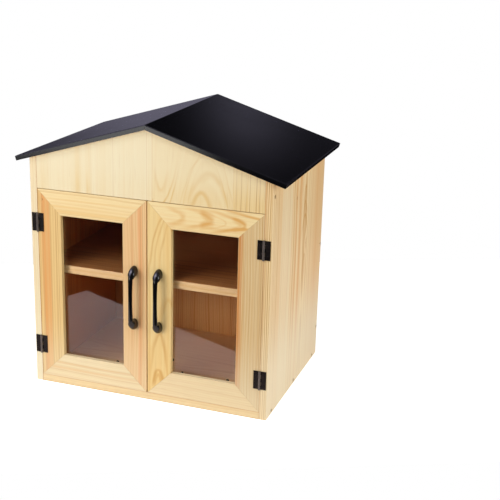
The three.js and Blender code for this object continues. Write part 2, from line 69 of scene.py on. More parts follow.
class Graph:
    """The node tree of one material or world, with a short call for each kind of node used here."""

    def __init__(self, block):
        block.use_nodes = True
        self.block = block
        self.tree = block.node_tree
        self.tree.nodes.clear()

    def add(self, kind, **settings):
        node = self.tree.nodes.new(kind)
        for name, value in settings.items():
            setattr(node, name, value)
        return node

    def put(self, socket, value):
        """Links another node's output to the socket, or sets a plain value on it."""
        if isinstance(value, bpy.types.NodeSocket):
            self.tree.links.new(value, socket)
        else:
            socket.default_value = value

    def math(self, operation, *values, clamp=False):
        node = self.add("ShaderNodeMath", operation=operation, use_clamp=clamp)
        for socket, value in zip(node.inputs, values):
            self.put(socket, value)
        return node.outputs[0]

    def chain(self, operation, result, *others):
        for value in others:
            result = self.math(operation, result, value)
        return result

    def plus(self, *values):
        return self.chain("ADD", *values)

    def times(self, *values):
        return self.chain("MULTIPLY", *values)

    def minus(self, first, second):
        return self.math("SUBTRACT", first, second)

    def apart(self, first, second):
        return self.math("ABSOLUTE", self.minus(first, second))

    def ease(self, value, start, end, low=0.0, high=1.0):
        """Goes smoothly from low to high as the value goes from start to end."""
        node = self.add("ShaderNodeMapRange", interpolation_type="SMOOTHSTEP")
        for socket, given in zip(node.inputs, (value, start, end, low, high)):
            self.put(socket, given)
        return node.outputs[0]

    def mix(self, share, first, second, blend="MIX"):
        node = self.add("ShaderNodeMix", data_type="RGBA", blend_type=blend)
        self.put(node.inputs[0], share)
        self.put(node.inputs[6], first)
        self.put(node.inputs[7], second)
        return node.outputs[2]

    def vector(self, x, y, z):
        node = self.add("ShaderNodeCombineXYZ")
        for socket, value in zip(node.inputs, (x, y, z)):
            self.put(socket, value)
        return node.outputs[0]

    def split(self, vector):
        node = self.add("ShaderNodeSeparateXYZ")
        self.put(node.inputs[0], vector)
        return list(node.outputs)

    def noise(self, place, scale=1.0, detail=1.0, roughness=0.5):
        node = self.add("ShaderNodeTexNoise", noise_dimensions="3D")
        self.put(node.inputs["Vector"], place)
        self.put(node.inputs["Scale"], scale)
        self.put(node.inputs["Detail"], detail)
        self.put(node.inputs["Roughness"], roughness)
        return node.outputs["Fac"]

    def chance(self, value):
        """A random number from 0 to 1 that is the same wherever the value is the same."""
        node = self.add("ShaderNodeTexWhiteNoise", noise_dimensions="1D")
        self.put(node.inputs["W"], value)
        return node.outputs["Value"]

    def place(self):
        """The point on the piece, in metres, where the box stands at rest."""
        return self.add("ShaderNodeTexCoord").outputs["Object"]

    def ray(self, *kinds):
        """1 for these kinds of ray, and 0 for the others."""
        path = self.add("ShaderNodeLightPath")
        found = path.outputs[f"Is {kinds[0]} Ray"]
        for kind in kinds[1:]:
            found = self.math("MAXIMUM", found, path.outputs[f"Is {kind} Ray"])
        return found

    def surface(self, **inputs):
        """A Principled shader with these inputs. A name's underscores stand for spaces."""
        node = self.add("ShaderNodeBsdfPrincipled")
        for name, value in inputs.items():
            self.put(node.inputs[name.replace("_", " ")], value)
        return node.outputs[0]

    def bump(self, height, strength, distance):
        node = self.add("ShaderNodeBump")
        self.put(node.inputs["Height"], height)
        node.inputs["Strength"].default_value = strength
        node.inputs["Distance"].default_value = distance
        return node.outputs[0]

    def finish(self, shader, kind="Material"):
        """Makes the shader the surface of the material or world, and gives that back."""
        out = self.add(f"ShaderNodeOutput{kind}")
        self.put(out.inputs["Surface"], shader)
        return self.block


def new_material(name):
    return Graph(bpy.data.materials.new(name))


def new_object(name, data):
    made = bpy.data.objects.new(name, data)
    bpy.context.scene.collection.objects.link(made)
    return made


def dress(node_name, material):
    """Gives a CAD node its finish."""
    piece = nodes[node_name]
    piece.data.materials.clear()
    piece.data.materials.append(material)


def modify(piece, kind, **settings):
    modifier = piece.modifiers.new(kind.lower(), kind)
    for name, value in settings.items():
        setattr(modifier, name, value)


WELD_REACH = 0.002 * MM
FLAT_ANGLE = math.radians(0.5)
BEVEL_SEGMENTS = 2
FLAT_FACE_WEIGHT = 100


def soften(node_name, radius, sharp_angle=40):
    """Rounds the sharp edges of a CAD node, and shades it smooth with its flats looking flat."""
    piece = nodes[node_name]
    modify(piece, "WELD", merge_threshold=WELD_REACH)
    modify(piece, "DECIMATE", decimate_type="DISSOLVE", angle_limit=FLAT_ANGLE)
    modify(piece, "BEVEL", width=radius, segments=BEVEL_SEGMENTS, limit_method="ANGLE",
           angle_limit=math.radians(sharp_angle))
    piece.data.shade_smooth()
    modify(piece, "WEIGHTED_NORMAL", weight=FLAT_FACE_WEIGHT)


def piece_from(name, mesh_builder, body, material):
    """A new piece made by a function that fills a bmesh, riding on a body."""
    builder = bmesh.new()
    mesh_builder(builder)
    bmesh.ops.recalc_face_normals(builder, faces=builder.faces)
    mesh = bpy.data.meshes.new(name)
    builder.to_mesh(mesh)
    builder.free()
    mesh.materials.append(material)
    piece = new_object(name, mesh)
    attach(piece, body)
    return piece


# Camera, stage and light

CAMERA_PLACE = Vector((0.7534, -1.8674, 0.8929))
CAMERA_YAW = 20.356
CAMERA_PITCH = 17.656
CAMERA_ROLL = 0.965
CAMERA_LENS = 75.98
CAMERA_SENSOR = 36
CAMERA_SHIFT = 0.08


def make_camera():
    data = bpy.data.cameras.new("camera")
    data.lens = CAMERA_LENS
    data.sensor_width = CAMERA_SENSOR
    data.shift_x = CAMERA_SHIFT
    camera = new_object("camera", data)
    turn = (
        Matrix.Rotation(math.radians(CAMERA_YAW), 4, "Z")
        @ Matrix.Rotation(math.radians(90 - CAMERA_PITCH), 4, "X")
        @ Matrix.Rotation(math.radians(CAMERA_ROLL), 4, "Z")
    )
    camera.matrix_world = Matrix.Translation(CAMERA_PLACE) @ turn
    bpy.context.scene.camera = camera


TABLE_CORNER = Vector((-0.385, -0.653, 0))
TABLE_TURN = 25.1
TABLE_WIDTH = 2.0
TABLE_DEPTH = 1.1
TABLE_DROP = 0.1 * MM
TABLE_WHITE = srgb(238, 238, 238)
TABLE_GLOW = 0.75
TABLE_GLOW_IN_GLASS = 0.41
TABLE_TINT_IN_GLASS = (1, 0.63, 0.62, 1)


def make_table():
    """The white table that the box stands on. The panes reflect its front corner."""
    mesh = bpy.data.meshes.new("table_top")
    turn = Matrix.Rotation(math.radians(TABLE_TURN), 3, "Z")
    right = turn @ Vector((TABLE_WIDTH, 0, 0))
    back = turn @ Vector((0, TABLE_DEPTH, 0))
    low = TABLE_CORNER - Vector((0, 0, TABLE_DROP))
    mesh.from_pydata([low, low + right, low + right + back, low + back], [], [(0, 1, 2, 3)])
    table = new_object("table_top", mesh)
    g = new_material("white_table")
    white = g.surface(Base_Color=TABLE_WHITE, Roughness=0.7)
    path = g.add("ShaderNodeLightPath").outputs
    turns = g.plus(path["Diffuse Depth"], path["Glossy Depth"])
    straight = g.times(
        g.ray("Camera", "Transmission"), g.minus(1.0, g.math("MINIMUM", turns, 1.0)))
    glow = g.add("ShaderNodeEmission")
    g.put(glow.inputs["Color"], g.mix(straight, TABLE_TINT_IN_GLASS, WHITE))
    g.put(glow.inputs["Strength"], g.plus(
        g.times(straight, TABLE_GLOW),
        g.times(g.minus(1.0, straight), g.ray("Glossy", "Transmission"), TABLE_GLOW_IN_GLASS),
    ))
    both = g.add("ShaderNodeAddShader")
    g.put(both.inputs[0], white)
    g.put(both.inputs[1], glow.outputs[0])
    mesh.materials.append(g.finish(both.outputs[0]))


AMBIENT = 0.36
AMBIENT_INSIDE = 0.15
STUDIO_TINT = (0.95, 0.90, 1.22, 1)
STUDIO_DIM = 0.004
STUDIO_BACK = 0.19
STUDIO_FRONT = 0.05
STUDIO_CEILING = 0.5
GLOW_X = -0.163
GLOW_Z = 0.321
GLOW_WIDTH = 0.042
GLOW_HEIGHT = 0.022
GLOW_STRENGTH = 0.3
SOFTBOX = Vector((-0.57, -0.48, 0.67))
SOFTBOX_REACH = 0.4
SOFTBOX_STRENGTH = 7

# Fades of the studio that gloss sees. Each has its start and end along one axis of the direction
# looked in, and the levels there where they aren't 0 and 1.
BEHIND = (-0.1, 0.5)
BAND_FALL = (0.12, 0.3, 1, 0.12)
BAND_TOP = (0.3, 0.36, 1, 0)
BAND_BOTTOM = (-0.3, -0.14)
BAND_LEFT_END = (-0.55, -0.42, 0.25, 1)
CEILING_START = (0.5, 0.9)
CEILING_ACROSS = (-0.6, 0.6, 0.3, 1)
IN_FRONT = (-0.1, -0.5)
FRONT_BOTTOM = (0, 0.1)
FRONT_TOP = (0.5, 0.3)


def make_world():
    """White to the eye and through glass. Gloss sees a pale band low down behind the box and a
    glow above it, a softbox at the upper left in front, a ceiling that is brighter to the right,
    and a dim room."""
    g = Graph(bpy.data.worlds.new("studio"))
    x, y, z = g.split(g.add("ShaderNodeTexCoord").outputs["Generated"])
    behind = g.ease(y, *BEHIND)
    low = g.times(
        g.ease(z, *BAND_FALL), g.ease(z, *BAND_TOP), g.ease(z, *BAND_BOTTOM),
        g.ease(x, *BAND_LEFT_END),
    )
    beside = g.times(g.minus(x, GLOW_X), 1 / GLOW_WIDTH)
    above = g.times(g.minus(z, GLOW_Z), 1 / GLOW_HEIGHT)
    off = g.plus(g.times(beside, beside), g.times(above, above))
    glow = g.times(behind, g.math("EXPONENT", g.times(off, -1)))
    aside = [g.minus(value, centre) for value, centre in zip((x, y, z), SOFTBOX)]
    away = g.plus(*(g.times(offset, offset) for offset in aside))
    softbox = g.math("EXPONENT", g.times(away, -1 / SOFTBOX_REACH ** 2))
    seen_in_gloss = g.plus(
        STUDIO_DIM,
        g.times(behind, low, STUDIO_BACK),
        g.times(glow, GLOW_STRENGTH),
        g.times(softbox, SOFTBOX_STRENGTH),
        g.times(g.ease(z, *CEILING_START), g.ease(x, *CEILING_ACROSS), STUDIO_CEILING),
        g.times(g.ease(y, *IN_FRONT), g.ease(z, *FRONT_BOTTOM), g.ease(z, *FRONT_TOP),
                STUDIO_FRONT),
    )
    path = g.add("ShaderNodeLightPath").outputs
    bounced = g.math("MINIMUM", path["Diffuse Depth"], 1.0)
    mirrored = g.times(g.math("MINIMUM", path["Glossy Depth"], 1.0), g.minus(1.0, bounced))
    clear = g.times(g.minus(1.0, bounced), g.minus(1.0, mirrored))
    strength = g.plus(
        g.times(g.ray("Camera", "Transmission"), clear),
        g.times(g.ray("Glossy", "Transmission"), mirrored, seen_in_gloss),
        g.times(g.ray("Diffuse"), AMBIENT),
        g.times(g.ray("Glossy", "Transmission"), bounced, AMBIENT_INSIDE),
    )
    background = g.add("ShaderNodeBackground")
    g.put(background.inputs["Color"], g.mix(mirrored, WHITE, STUDIO_TINT))
    g.put(background.inputs["Strength"], strength)
    bpy.context.scene.world = g.finish(background.outputs[0], "World")


def soft_light(name, place, target, width, height, power, diffuse=True, gloss=True):
    data = bpy.data.lights.new(name, "AREA")
    data.shape = "RECTANGLE"
    data.size = width
    data.size_y = height
    data.energy = power
    light = new_object(name, data)
    aim = (Vector(target) - Vector(place)).to_track_quat("-Z", "Y").to_matrix().to_4x4()
    light.matrix_world = Matrix.Translation(place) @ aim
    light.visible_diffuse = diffuse
    light.visible_glossy = gloss


def make_lights():
    """The key's lower third alone shows in gloss, so that the roof stays black from behind."""
    soft_light("key", place=(-0.85, -1.66, 0.55), target=(-0.05, -0.1, 0.3),
               width=0.9, height=0.9, power=14.8, gloss=False)
    soft_light("key_in_gloss", place=(-0.869, -1.698, 0.253), target=(-0.069, -0.138, 0.003),
               width=0.9, height=0.3, power=4.9, diffuse=False)
    soft_light("fill", place=(2.0, -0.5, 0.75), target=(0, 0, 0.25),
               width=1.1, height=1.1, power=19)
    soft_light("top", place=(-0.3, -1.3, 1.9), target=(0, -0.15, 0.25),
               width=0.7, height=0.7, power=8)


# Wood

PINE_PALE = srgb(243, 230, 196)
PINE_EARLY = srgb(242, 216, 166)
PINE_LATE = srgb(207, 156, 84)
PINE_GOLD = srgb(224, 180, 104)
PINE_HEART = srgb(232, 184, 120)
PINE_SALMON = srgb(233, 166, 106)
PINE_KNOT = srgb(140, 84, 44)
PINE_LINE = srgb(194, 144, 84)
# Factors for the faces that look into the cabinet, low down, above that and at the top: the browner
# tone of bare wood together with painted shade of the dim inside. The left side has its own set for
# the deeper shade it lies in, and the shelf and the floor have theirs.
INSIDE_SHADE_TINTS = ((0.86, 0.57, 0.39, 1), (0.54, 0.275, 0.13, 1), (0.92, 0.48, 0.22, 1))
LEFT_INSIDE_SHADE_TINTS = 3 * ((0.62, 0.28, 0.11, 1),)
SHELF_SHADE_TINTS = 3 * ((0.62, 0.40, 0.27, 1),)
FLOOR_SHADE_TINTS = 3 * ((1.0, 0.84, 0.80, 1),)
AXES = {"x": 0, "y": 1, "z": 2}
SKIN = 0.4 * MM
LINE_HALF_WIDTH = 1.1 * MM
LINE_CORE = 0.3 * LINE_HALF_WIDTH
SEAM_HALF_WIDTH = 0.7 * MM
SEAM_CORE = 0.2 * MM
STAVE_DRIFT = 0.37
KNOT_LENGTH = 2
FINE_RINGS_A_YEAR = 2.7
LEAST_RING = 0.2
MOST_COVER = 0.95
FINE_COVER = 0.3
WARM_COVER = 0.14
FIBRE_COVER = 0.16
CANAL_COVER = 0.12
SEAM_COVER = 0.3
EDGE_UNFADED = 0.4

# Where late wood starts in a year's ring, where it is full and where it begins to stop
LATE_WOOD = (0.15, 0.8, 0.86)
FINE_LINES = (0.2, 0.7, 0.8)

# Changes per metre across and along the grain, and for a sway also how far it goes
LONG_WANDER = (9, 3, 17 * MM)
SHORT_WANDER = (40, 14, 2.2 * MM)
LONG_RIPPLE = (42, 14, 9 * MM)
SHORT_RIPPLE = (160, 40, 2 * MM)
FIBRES = (900, 20)
RESIN_CANALS = (520, 26)
PATCHES = (28, 9)
WARM_PATCHES = (30, 5)
BREAKS_IN_STREAKS = (110, 4)
BREAKS_IN_LINES = (90, 5)

# Heights at which the painted shade inside the cabinet goes over from one level to the next
INSIDE_SHADE_LOW_TO_HIGH = (0.05, 0.17)
INSIDE_SHADE_HIGH_TO_TOP = (0.22, 0.36)


class Log:
    """Where a board was sawn from its log, seen from the board's face. Metres, but for the mm.

    pith: how far the middle of the log is across the board. depth: how far it is behind the face.
    lean: how fast that depth changes along the grain. turn: how fast the pith drifts across.
    ring: how wide one year's growth is, in mm. figure: how strongly its late wood shows.
    heart and pale: how far the colour goes towards heartwood and towards sapwood.
    arches: bands of late wood that bend round a tip, where the saw just grazed a ring. Each has
    its middle across the board, its tip along it, the square of its half width over its height
    in mm (negative if the tip is at the low end), its half thickness in mm, its reach and its
    strength.
    """

    def __init__(self, pith, depth=0.05, lean=0.0, turn=0.0, ring=4, figure=1.0,
                 heart=0.0, pale=0.0, arches=()):
        self.pith = pith
        self.depth = depth
        self.lean = lean
        self.turn = turn
        self.rings_per_metre = 1 / (ring * MM)
        self.figure = figure
        self.heart = heart
        self.pale = pale
        self.arches = arches


def steps(g, value, edges, levels):
    """A value that jumps from one level to the next at each edge."""
    total = levels[0]
    for edge, before, after in zip(edges, levels, levels[1:]):
        if after != before:
            total = g.plus(total, g.times(g.math("GREATER_THAN", value, edge), after - before))
    return total


def arch_bands(g, u, a, arches):
    """How strongly the arches of a log show at the place u across and a along the board."""
    total = 0.0
    for middle, tip, spread, width, reach, strength in arches:
        beside = g.minus(u, middle)
        drop = g.minus(tip, a)
        slant = g.times(beside, 2 / (spread * MM))
        steepness = g.math("SQRT", g.plus(1.0, g.times(slant, slant)))
        bend = g.times(beside, beside, 1 / (spread * MM))
        off = g.math("DIVIDE", g.apart(drop, bend), steepness)
        fading = g.ease(g.math("ABSOLUTE", drop), reach, 0.4 * reach)
        total = g.plus(total, g.times(g.ease(off, width * MM, 0.0), fading, strength))
    return total


def wood(name, node_name, along, across, logs, edges=(), seed=0.0, contrast=0.5, banding=0.4,
         fine=0.3, knots=(), streaks=(), lines=(), edge_grain_and_shadow_lines=(), tone_and_bounce_fade=None, face=-1, inside=0,
         inside_shade_tints=INSIDE_SHADE_TINTS, early=PINE_EARLY, late=PINE_LATE, heart=PINE_HEART):
    """Pine with growth rings in all three directions, so that faces and ends agree.

    logs and edges describe the staves that a wide board is glued from. A knot is given by its
    place across and along the board, its reach, how far it lifts the rings and how dark its core
    is. A streak is a band of heartwood colour, given by its middle across the board, its width
    and its strength, and a line is a thin brown one, given by its place and strength. Edge lines
    are such lines on the board's front edge, placed through its thickness; the one low on the
    floor board's edge is a painted shadow along its bottom. tone_and_bounce_fade is where along
    the board it starts and ends to grow paler, and how far; where a board grows paler towards
    its bottom, that is painted light bounced up from the white table. face is the side of the
    board that the logs are seen from, and inside is 1 or -1 where its back or its face looks
    into the cabinet. That face is darkened and browned by one factor each low down, above that
    and at the top: the browner tone of bare wood together with painted shade of the dim inside."""
    g = new_material(name)
    low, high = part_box(node_name)
    middle = (low + high) / 2
    spots = g.split(g.place())
    through = next(axis for axis in "xyz" if axis not in (along, across))
    a, u, w = (
        g.minus(spots[AXES[axis]], middle[AXES[axis]]) for axis in (along, across, through)
    )
    v = g.times(w, -face)

    def by_stave(field):
        return steps(g, u, edges, [getattr(log, field) for log in logs])

    stave = steps(g, u, edges, [float(i) for i in range(len(logs))])
    drift = g.plus(seed, g.times(stave, STAVE_DRIFT)) if edges else seed
    far = g.plus(a, drift)

    def stretched(per_across, per_along, detail=1.0, roughness=0.5):
        """Noise with its own number of changes per metre across and along the grain."""
        place = g.vector(g.times(u, per_across), g.times(v, per_across), g.times(far, per_along))
        return g.noise(place, 1.0, detail, roughness)

    def sway(per_across, per_along, reach):
        return g.times(g.minus(stretched(per_across, per_along), 0.5), reach)

    def late_part(age, start, full, stop):
        return g.times(g.ease(age, start, full), g.ease(age, stop, 1.0, 1, 0))

    wander = g.plus(sway(*LONG_WANDER), sway(*SHORT_WANDER))
    ripple = g.plus(sway(*LONG_RIPPLE), sway(*SHORT_RIPPLE))
    sideways = g.minus(u, g.plus(by_stave("pith"), g.times(a, by_stave("turn"))))
    deep = g.plus(v, by_stave("depth"), g.times(a, by_stave("lean")))
    radius = g.math("SQRT", g.plus(g.times(sideways, sideways), g.times(deep, deep)))
    knot_core = 0.0
    for knot_across, knot_along, reach, lift, darkness in knots:
        beside = g.minus(u, knot_across)
        beyond = g.times(g.minus(a, knot_along), 1 / KNOT_LENGTH)
        away = g.math("SQRT", g.plus(g.times(beside, beside), g.times(beyond, beyond)))
        push = g.math("EXPONENT", g.times(away, away, -1 / reach ** 2))
        radius = g.plus(radius, g.times(push, lift))
        core = g.ease(away, 0.2 * reach, 0.04 * reach)
        knot_core = g.plus(knot_core, g.times(core, darkness))
    radius = g.plus(radius, wander)

    across_rings = g.vector(radius, drift, 0)
    years = g.times(radius, by_stave("rings_per_metre"))
    phase = g.plus(years, g.times(g.noise(across_rings, 70, 1), 1.5))
    late_wood = late_part(g.math("FRACT", phase), *LATE_WOOD)
    luck = g.chance(g.math("FLOOR", phase))
    weight = g.times(g.plus(LEAST_RING, g.times(luck, 1 - LEAST_RING)), by_stave("figure"))
    fine_lines = late_part(g.math("FRACT", g.times(years, FINE_RINGS_A_YEAR)), *FINE_LINES)
    broad = g.noise(across_rings, 30, 2, 0.6)
    fibre = stretched(*FIBRES, detail=2, roughness=0.6)
    canals = g.ease(stretched(*RESIN_CANALS, detail=0), 0.72, 0.8)
    patchy = g.plus(0.45, stretched(*PATCHES))

    colour = g.mix(by_stave("pale"), early, PINE_PALE) if any(log.pale for log in logs) else early
    shade = g.plus(g.times(late_wood, weight, contrast), g.times(fine_lines, FINE_COVER * fine))
    for number, log in enumerate(logs):
        if log.arches:
            here = g.minus(1.0, g.math("ABSOLUTE", g.minus(stave, float(number)), clamp=True))
            bands = arch_bands(g, g.plus(u, ripple), a, log.arches)
            shade = g.plus(shade, g.times(bands, patchy, here))
    colour = g.mix(g.math("MINIMUM", shade, MOST_COVER), colour, late)
    warmth = g.plus(
        g.times(g.ease(broad, 0.42, 0.78), banding),
        by_stave("heart"),
        g.times(g.ease(stretched(*WARM_PATCHES, detail=2), 0.5, 0.8), WARM_COVER),
    )
    for streak_across, streak_width, strength in streaks:
        off = g.apart(g.plus(u, g.times(wander, 0.4)), streak_across)
        core = g.ease(off, streak_width, 0.1 * streak_width)
        broken = g.ease(stretched(*BREAKS_IN_STREAKS), 0.2, 0.5)
        warmth = g.plus(warmth, g.times(core, broken, strength))
    colour = g.mix(g.math("MINIMUM", warmth, MOST_COVER), colour, heart)
    colour = g.mix(g.times(g.ease(fibre, 0.5, 0.8), FIBRE_COVER), colour, late)
    for line_across, strength in lines:
        off = g.apart(g.plus(u, g.times(ripple, 0.2)), line_across)
        core = g.ease(off, LINE_HALF_WIDTH, LINE_CORE)
        broken = g.ease(stretched(*BREAKS_IN_LINES), 0.2, 0.5)
        colour = g.mix(g.times(core, broken, strength), colour, PINE_LINE)
    colour = g.mix(g.times(canals, CANAL_COVER), colour, PINE_LINE)
    on_face = 1.0
    if edge_grain_and_shadow_lines:
        on_edge = g.math("LESS_THAN", u, SKIN - (high - low)[AXES[across]] / 2)
        on_face = g.minus(1.0, g.times(on_edge, EDGE_UNFADED))
        for line_through, strength in edge_grain_and_shadow_lines:
            off = g.apart(g.plus(w, g.times(ripple, 0.1)), line_through)
            core = g.ease(off, LINE_HALF_WIDTH, LINE_CORE)
            colour = g.mix(g.times(core, on_edge, strength), colour, PINE_LINE)
    # Paler along the board: a paler tone, and where a board grows paler towards its bottom, painted
    # light bounced up from the white table
    if tone_and_bounce_fade:
        fade_start, fade_end, share = tone_and_bounce_fade
        paler = g.times(g.ease(a, fade_start, fade_end, 0, share), on_face)
        colour = g.mix(paler, colour, PINE_PALE)
    if knots:
        colour = g.mix(knot_core, colour, PINE_KNOT)
    for edge in edges:
        seam = g.ease(g.apart(u, edge), SEAM_HALF_WIDTH, SEAM_CORE)
        colour = g.mix(g.times(seam, SEAM_COVER), colour, PINE_LATE)
    # The browner tone of bare wood and painted shade of the dim inside, by height, on faces that
    # look into the cabinet
    if inside:
        half = (high - low)[AXES[through]] / 2
        inner = g.math("GREATER_THAN", g.times(v, inside), half - SKIN)
        low_shade_tint, high_shade_tint, top_shade_tint = inside_shade_tints
        inside_shade = g.mix(g.ease(spots[AXES["z"]], *INSIDE_SHADE_LOW_TO_HIGH), low_shade_tint, high_shade_tint)
        inside_shade = g.mix(g.ease(spots[AXES["z"]], *INSIDE_SHADE_HIGH_TO_TOP), inside_shade, top_shade_tint)
        colour = g.mix(inner, colour, g.mix(1.0, colour, inside_shade, "MULTIPLY"))

    height = g.plus(g.times(late_wood, 0.5), g.times(fibre, 0.5))
    return g.finish(g.surface(
        Base_Color=colour,
        Roughness=g.plus(0.42, g.times(late_wood, -0.05), g.times(fibre, 0.14)),
        Normal=g.bump(height, 0.12, 0.25 * MM),
        Specular_IOR_Level=0.45,
    ))


def dress_boards():
    dress("front_gable_board", wood(
        "gable_pine", "front_gable_board", "z", "x",
        logs=[
            Log(pith=-0.42, depth=0.10, ring=9, figure=0.2, pale=0.7),
            Log(pith=-0.32, depth=0.10, ring=5, figure=0.5, pale=0.65),
            Log(pith=0.113, depth=0.055, lean=0.2, turn=-0.06, ring=8.5, figure=0.3,
                pale=0.3, heart=0.16, arches=(
                    (0.119, -0.003, 27, 8, 0.07, 0.45),
                    (0.123, -0.008, 20, 10, 0.02, 0.4),
                    (0.106, -0.040, 11.5, 7, 0.05, 0.7),
                    (0.120, 0.045, 22, 2.2, 0.14, 0.5),
                    (0.112, 0.027, 24, 2.2, 0.13, 0.4),
                    (0.029, -0.043, -4.0, 6, 0.05, 0.4),
                    (0.023, -0.072, -16, 3, 0.10, 0.7),
                    (0.024, -0.094, -16, 2.5, 0.12, 0.7),
                )),
            Log(pith=0.42, depth=0.08, ring=3.8, figure=1.4, heart=0.5),
        ],
        edges=(0.0, 0.011, 0.166), seed=2.1, contrast=0.7, banding=0.3, fine=0.1,
        streaks=((-0.139, 0.009, 0.55), (-0.117, 0.008, 0.85), (-0.210, 0.014, 0.3),
                 (-0.040, 0.02, 0.15)), tone_and_bounce_fade=(-0.06, 0.0, 0.4),
        lines=((-0.112, 0.3), (-0.067, 0.25), (0.172, 0.5), (0.181, 0.6), (0.190, 0.7),
               (0.197, 0.6), (0.209, 0.9), (0.215, 0.7), (0.224, 0.9)),
        late=PINE_GOLD, early=srgb(242, 217, 164), heart=srgb(234, 202, 140)))
    for name, side in SIDES.items():
        node = f"{name}_side_panel"
        dress(node, wood(
            f"{name}_side_pine", node, "z", "y",
            logs=[
                Log(pith=-0.205, depth=0.085, ring=4.2, figure=1.3, heart=0.05) if side > 0
                else Log(pith=-0.205, depth=0.085, ring=4.2, figure=0.5, pale=0.6),
                Log(pith=-0.28, depth=0.08, ring=9, figure=0.6, pale=0.35),
                Log(pith=-0.16, depth=0.06, ring=9, heart=0.08),
                Log(pith=0.040, ring=7, figure=0.8, arches=(
                    (0.038, 0.170, 6, 5, 0.035, 0.35),
                    (0.040, 0.140, 6, 5, 0.035, 0.4),
                    (0.040, 0.112, 7, 5, 0.045, 0.55),
                    (0.046, 0.030, 4, 4, 0.09, 0.5),
                )),
                Log(pith=0.36, depth=0.07, ring=8, figure=0.7, heart=0.3),
            ],
            edges=(-0.115, -0.052, 0.018, 0.09), seed=4.0 + side, contrast=0.8, banding=0.6,
            knots=((-0.020, 0.160, 16 * MM, 10 * MM, 0.6), (0.052, 0.052, 7 * MM, 5 * MM, 0.5)),
            streaks=((-0.020, 0.007, 0.9), (0.006, 0.010, 0.9)),
            lines=((-0.158, 0.7), (-0.148, 0.6), (-0.139, 0.6), (-0.110, 0.4)),
            edge_grain_and_shadow_lines=((-0.0048, 0.7), (-0.0010, 0.6), (0.0022, 0.7), (0.0056, 0.5))
            if side > 0 else (),
            # Paler towards the bottom: painted light bounced up from the white table
            tone_and_bounce_fade=(0.0, -0.17, 0.7), face=side, inside=1,
            inside_shade_tints=INSIDE_SHADE_TINTS if side > 0 else LEFT_INSIDE_SHADE_TINTS,
            early=srgb(250, 224, 172), heart=srgb(230, 178, 114)))
    dress("back_panel", wood(
        "back_pine", "back_panel", "z", "x",
        logs=[
            Log(pith=-0.30, depth=0.07),
            Log(pith=-0.24, ring=5),
            Log(pith=-0.21, ring=5, heart=0.1),
            Log(pith=-0.10, turn=0.04),
            Log(pith=0.40, depth=0.07),
        ],
        edges=(-0.14, -0.045, 0.035, 0.14), seed=7.3, contrast=0.9, inside=-1,
        lines=((0.050, 0.8), (0.064, 0.9), (0.072, 0.7), (0.11, 0.8), (0.13, 0.7))))
    dress("floor_board", wood(
        "floor_pine", "floor_board", "x", "y",
        logs=[Log(pith=-0.3, depth=0.08, ring=7, figure=0.6, heart=0.1, pale=0.15),
              Log(pith=0.0, depth=0.06, lean=0.02), Log(pith=0.3)],
        edges=(-0.06, 0.07), seed=9.4, contrast=0.4, banding=0.2, face=1, inside=-1,
        # The line low on the floor board's front edge is a painted shadow along its bottom
        edge_grain_and_shadow_lines=((-0.0064, 0.6),), inside_shade_tints=FLOOR_SHADE_TINTS))
    dress("shelf", wood(
        "shelf_pine", "shelf", "x", "y",
        logs=[Log(pith=-0.25, depth=0.08, ring=6, figure=1.2),
              Log(pith=0.02, lean=0.04, figure=1.2), Log(pith=0.3)],
        edges=(-0.05, 0.06), seed=11.2, contrast=0.8, banding=0.1, face=1, inside=-1,
        streaks=((-0.131, 0.002, 0.7), (-0.122, 0.0015, 0.6), (-0.108, 0.003, 0.7),
                 (-0.088, 0.002, 0.7), (-0.071, 0.003, 0.7), (-0.044, 0.003, 0.6)),
        inside_shade_tints=SHELF_SHADE_TINTS, early=srgb(219, 179, 131), heart=srgb(150, 92, 50)))
    for name, side in SIDES.items():
        node = f"roof_board_{name}"
        dress(node, wood(
            f"{name}_roof_pine", node, "y", "x",
            logs=[Log(pith=-0.2 * side, depth=0.06)], seed=13.0 + side, face=1))


